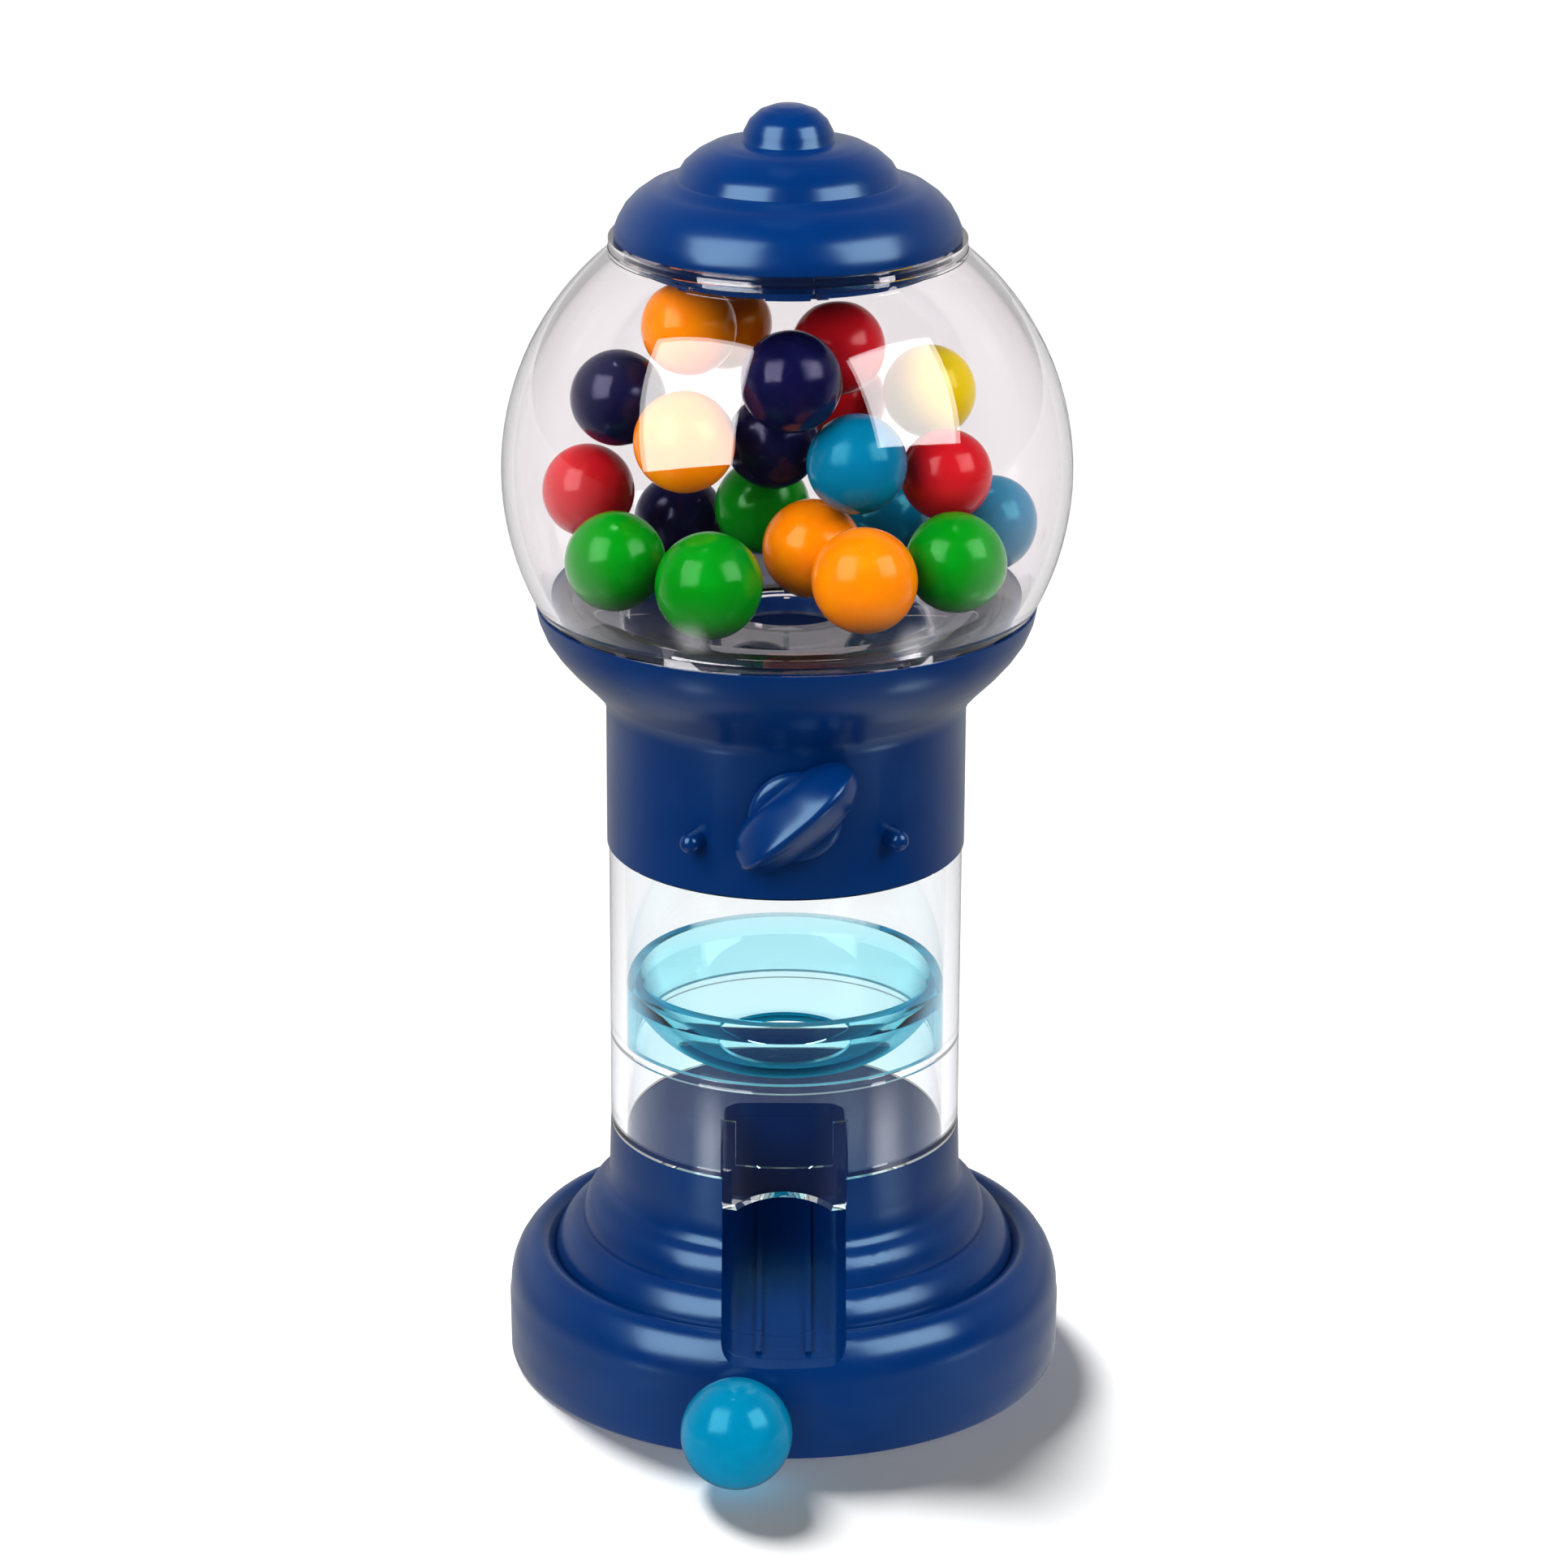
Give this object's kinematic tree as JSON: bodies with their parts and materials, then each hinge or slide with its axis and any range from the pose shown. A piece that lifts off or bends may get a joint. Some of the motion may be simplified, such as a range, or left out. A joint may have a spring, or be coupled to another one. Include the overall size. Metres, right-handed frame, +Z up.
{
  "type": "gumball machine",
  "caption": "Small toy gumball machine with blue lid, collar and stepped base, clear globe and tube, cyan funnel, turning knob and coloured gumballs.",
  "frame": {"origin": "centre of the underside of the base, on the surface it stands on", "axes": "+Z up through the middle of the base, tube, globe and lid; -Y is the front with the knob and chute; +X is the viewer's right when facing the front"},
  "size_m": [0.0804, 0.0957, 0.185],
  "materials": {
    "blue_plastic": "gloss",
    "clear_plastic": "clear gloss",
    "cyan_plastic": "translucent gloss",
    "white_plastic": "satin",
    "steel": "satin",
    "candy_green": "polished sugar shell",
    "candy_orange": "polished sugar shell",
    "candy_red": "polished sugar shell",
    "candy_blue": "polished sugar shell",
    "candy_purple": "polished sugar shell",
    "candy_yellow": "polished sugar shell"
  },
  "bodies": {
    "machine_body": {"globe": "clear_plastic", "hopper_floor": "clear_plastic", "collar": "blue_plastic", "housing_pins": "blue_plastic", "drum_housing": "blue_plastic", "tube": "clear_plastic", "funnel": "cyan_plastic", "base_shell": "blue_plastic", "chute": "blue_plastic", "bottom_cover": "blue_plastic", "cover_screws": "steel", "gumballs_green": "candy_green", "gumballs_orange": "candy_orange", "gumballs_red": "candy_red", "gumballs_blue": "candy_blue", "gumballs_purple": "candy_purple", "gumball_yellow": "candy_yellow"},
    "knob_body": {"knob": "blue_plastic", "dispensing_drum": "white_plastic", "shaft_clip": "steel"},
    "lid_ring_body": {"lid_ring": "clear_plastic"},
    "lid_body": {"lid": "blue_plastic"},
    "vended_gumball_body": {"vended_gumball": "candy_blue"}
  },
  "joints": [
    {"name": "knob_turn", "type": "hinge", "parent": "machine_body", "child": "knob_body", "pos_m": [0, 0, 0.091], "axis": [-0.0523, 0.9986, 0], "continuous": true},
    {"name": "lid_lift", "type": "slide", "parent": "machine_body", "child": "lid_ring_body", "axis": [0, 0, 1], "range_m": [0, 0.06]},
    {"name": "lid_turn", "type": "hinge", "parent": "lid_ring_body", "child": "lid_body", "pos_m": [0, 0, 0.1655], "axis": [0, 0, -1], "range_deg": [0, 28]},
    {"name": "gumball_roll", "type": "slide", "parent": "machine_body", "child": "vended_gumball_body", "axis": [0, -1, 0], "range_m": [0, 0.04]}
  ]
}
